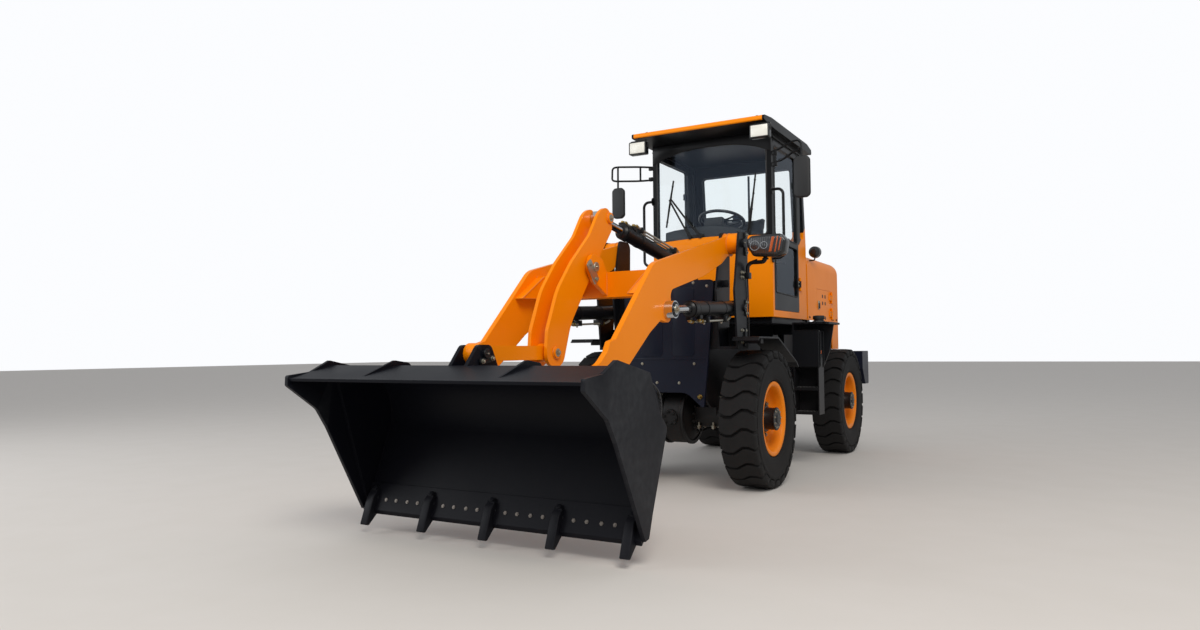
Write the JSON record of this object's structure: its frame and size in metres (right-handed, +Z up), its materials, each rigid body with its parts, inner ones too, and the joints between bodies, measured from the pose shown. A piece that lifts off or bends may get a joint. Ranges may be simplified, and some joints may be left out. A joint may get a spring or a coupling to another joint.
{
  "type": "wheel loader",
  "caption": "Articulated wheel loader with a toothed bucket on a knee-shaped lift boom, a full cab, lugged tyres, a rear hood and a counterweight.",
  "frame": {"origin": "on the ground, under the middle of the whole machine's length and width", "axes": "+Z up, -Y towards the bucket, +X to the driver's left"},
  "size_m": [1.91, 6.3605, 3.034],
  "materials": {
    "orange_paint": "semi-gloss orange paint",
    "dark_paint": "semi-gloss blue-black paint",
    "black_paint": "satin black paint",
    "chassis_paint": "satin dark grey paint",
    "chrome_rod": "polished hard chrome",
    "tyre_rubber": "matt black rubber",
    "tinted_glass": "clear tinted safety glass",
    "iron": "painted cast iron",
    "seat_cloth": "black seat cloth",
    "lamp_plastic": "black lamp housings",
    "cooler": "finned cooler"
  },
  "bodies": {
    "chassis": {"rear_frame": "chassis_paint", "engine_block": "iron", "radiator": "cooler", "rear_axle": "iron", "cab_frame": "orange_paint", "cab_roof": "orange_paint", "cab_glass": "tinted_glass", "seat": "seat_cloth", "steering_wheel": "lamp_plastic", "hood": "orange_paint", "rear_grille": "black_paint", "saddle_boxes": "dark_paint", "counterweight": "dark_paint", "work_lamps": "lamp_plastic", "mirrors": "black_paint", "handrails": "black_paint", "exhaust_and_intake": "black_paint"},
    "front_chassis": {"front_frame": "chassis_paint", "boom_towers": "chassis_paint", "front_cover": "dark_paint", "front_axle": "iron", "front_fenders": "dark_paint", "headlamps": "lamp_plastic"},
    "boom_body": {"boom": "orange_paint"},
    "rocker_body": {"rocker": "orange_paint"},
    "link_body": {"bucket_link": "orange_paint"},
    "bucket_body": {"bucket": "dark_paint"},
    "tilt_barrel_body": {"tilt_barrel": "black_paint"},
    "tilt_rod_body": {"tilt_rod": "chrome_rod"},
    "lift_barrel_left_body": {"lift_barrel_left": "black_paint"},
    "lift_rod_left_body": {"lift_rod_left": "chrome_rod"},
    "steer_barrel_left_body": {"steer_barrel_left": "black_paint"},
    "steer_rod_left_body": {"steer_rod_left": "chrome_rod"},
    "door_left_body": {"door_left": "orange_paint", "door_glass_left": "tinted_glass"},
    "hood_hatch_left_body": {"hood_hatch_left": "orange_paint"},
    "lift_barrel_right_body": {"lift_barrel_right": "black_paint"},
    "lift_rod_right_body": {"lift_rod_right": "chrome_rod"},
    "steer_barrel_right_body": {"steer_barrel_right": "black_paint"},
    "steer_rod_right_body": {"steer_rod_right": "chrome_rod"},
    "door_right_body": {"door_right": "orange_paint", "door_glass_right": "tinted_glass"},
    "hood_hatch_right_body": {"hood_hatch_right": "orange_paint"},
    "wheel_front_left": {"tyre_front_left": "tyre_rubber", "rim_front_left": "orange_paint"},
    "wheel_front_right": {"tyre_front_right": "tyre_rubber", "rim_front_right": "orange_paint"},
    "wheel_rear_left": {"tyre_rear_left": "tyre_rubber", "rim_rear_left": "orange_paint"},
    "wheel_rear_right": {"tyre_rear_right": "tyre_rubber", "rim_rear_right": "orange_paint"}
  },
  "joints": [
    {"name": "articulation", "type": "hinge", "parent": "chassis", "child": "front_chassis", "pos_m": [0, 1.2025, 0.85], "axis": [0, 0, 1], "range_deg": [-35, 35]},
    {"name": "boom_lift", "type": "hinge", "parent": "front_chassis", "child": "boom_body", "pos_m": [0, -0.1875, 1.886], "axis": [-1, 0, 0], "range_deg": [-20.8, 53]},
    {"name": "bucket_tilt", "type": "hinge", "parent": "boom_body", "child": "bucket_body", "pos_m": [0, -2.3625, 0.89], "axis": [-1, 0, 0], "range_deg": [-28, 112]},
    {"name": "rocker_swing", "type": "hinge", "parent": "boom_body", "child": "rocker_body", "pos_m": [0, -1.6145, 1.611], "axis": [-1, 0, 0], "range_deg": [-47.54, 12.26]},
    {"name": "link_swing", "type": "hinge", "parent": "bucket_body", "child": "link_body", "pos_m": [0, -2.7205, 1.056], "axis": [-1, 0, 0], "range_deg": [-75.54, 19.26]},
    {"name": "tilt_barrel_swing", "type": "hinge", "parent": "front_chassis", "child": "tilt_barrel_body", "pos_m": [0, 0.0825, 1.748], "axis": [-1, 0, 0], "range_deg": [-17.14, 42.9]},
    {"name": "tilt_rod_slide", "type": "slide", "parent": "tilt_barrel_body", "child": "tilt_rod_body", "axis": [0, -0.9885, 0.1512], "range_m": [-0.089, 0.3499]},
    {"name": "lift_barrel_left_swing", "type": "hinge", "parent": "front_chassis", "child": "lift_barrel_left_body", "pos_m": [0.526, -0.1855, 1.385], "axis": [-1, 0, 0], "range_deg": [-20.26, 50.85]},
    {"name": "lift_rod_left_slide", "type": "slide", "parent": "lift_barrel_left_body", "child": "lift_rod_left_body", "axis": [0, -0.9989, -0.0471], "range_m": [-0.1683, 0.4257]},
    {"name": "steer_barrel_left_swing", "type": "hinge", "parent": "chassis", "child": "steer_barrel_left_body", "pos_m": [0.2, 1.8125, 0.8], "axis": [0, 0, 1], "range_deg": [-5.75, 5.75]},
    {"name": "steer_rod_left_slide", "type": "slide", "parent": "steer_barrel_left_body", "child": "steer_rod_left_body", "axis": [0, -1, 0], "range_m": [-0.1199, 0.1199]},
    {"name": "door_left_hinge", "type": "hinge", "parent": "chassis", "child": "door_left_body", "pos_m": [0.58, 1.4185, 2.1], "axis": [0, 0, 1], "range_deg": [0, 95]},
    {"name": "hood_hatch_left_hinge", "type": "hinge", "parent": "chassis", "child": "hood_hatch_left_body", "pos_m": [0.584, 2.5585, 1.505], "axis": [0, 0, 1], "range_deg": [0, 100]},
    {"name": "lift_barrel_right_swing", "type": "hinge", "parent": "front_chassis", "child": "lift_barrel_right_body", "pos_m": [-0.526, -0.1855, 1.385], "axis": [-1, 0, 0], "range_deg": [-20.26, 50.85]},
    {"name": "lift_rod_right_slide", "type": "slide", "parent": "lift_barrel_right_body", "child": "lift_rod_right_body", "axis": [0, -0.9989, -0.0471], "range_m": [-0.1683, 0.4257]},
    {"name": "steer_barrel_right_swing", "type": "hinge", "parent": "chassis", "child": "steer_barrel_right_body", "pos_m": [-0.2, 1.8125, 0.8], "axis": [0, 0, 1], "range_deg": [-5.75, 5.75]},
    {"name": "steer_rod_right_slide", "type": "slide", "parent": "steer_barrel_right_body", "child": "steer_rod_right_body", "axis": [0, -1, 0], "range_m": [-0.1199, 0.1199]},
    {"name": "door_right_hinge", "type": "hinge", "parent": "chassis", "child": "door_right_body", "pos_m": [-0.58, 1.4185, 2.1], "axis": [0, 0, -1], "range_deg": [0, 95]},
    {"name": "hood_hatch_right_hinge", "type": "hinge", "parent": "chassis", "child": "hood_hatch_right_body", "pos_m": [-0.584, 2.5585, 1.505], "axis": [0, 0, -1], "range_deg": [0, 100]},
    {"name": "wheel_front_left_spin", "type": "hinge", "parent": "front_chassis", "child": "wheel_front_left", "pos_m": [0.66, -0.0375, 0.53], "axis": [1, 0, 0], "continuous": true},
    {"name": "wheel_front_right_spin", "type": "hinge", "parent": "front_chassis", "child": "wheel_front_right", "pos_m": [-0.66, -0.0375, 0.53], "axis": [1, 0, 0], "continuous": true},
    {"name": "wheel_rear_left_spin", "type": "hinge", "parent": "chassis", "child": "wheel_rear_left", "pos_m": [0.66, 2.4445, 0.53], "axis": [1, 0, 0], "continuous": true},
    {"name": "wheel_rear_right_spin", "type": "hinge", "parent": "chassis", "child": "wheel_rear_right", "pos_m": [-0.66, 2.4445, 0.53], "axis": [1, 0, 0], "continuous": true}
  ],
  "couplings": [
    {"joint": "rocker_swing", "follows": "bucket_tilt", "ratio": -0.42},
    {"joint": "link_swing", "follows": "bucket_tilt", "ratio": -0.67},
    {"joint": "tilt_barrel_swing", "follows": "boom_lift", "ratio": 0.8},
    {"joint": "tilt_rod_slide", "follows": "bucket_tilt", "m_per_rad": 0.178},
    {"joint": "lift_barrel_left_swing", "follows": "boom_lift", "ratio": 0.95},
    {"joint": "lift_rod_left_slide", "follows": "boom_lift", "m_per_rad": 0.458},
    {"joint": "steer_barrel_left_swing", "follows": "articulation", "ratio": 0.15},
    {"joint": "steer_rod_left_slide", "follows": "articulation", "m_per_rad": -0.193},
    {"joint": "lift_barrel_right_swing", "follows": "boom_lift", "ratio": 0.95},
    {"joint": "lift_rod_right_slide", "follows": "boom_lift", "m_per_rad": 0.458},
    {"joint": "steer_barrel_right_swing", "follows": "articulation", "ratio": 0.15},
    {"joint": "steer_rod_right_slide", "follows": "articulation", "m_per_rad": 0.193}
  ]
}
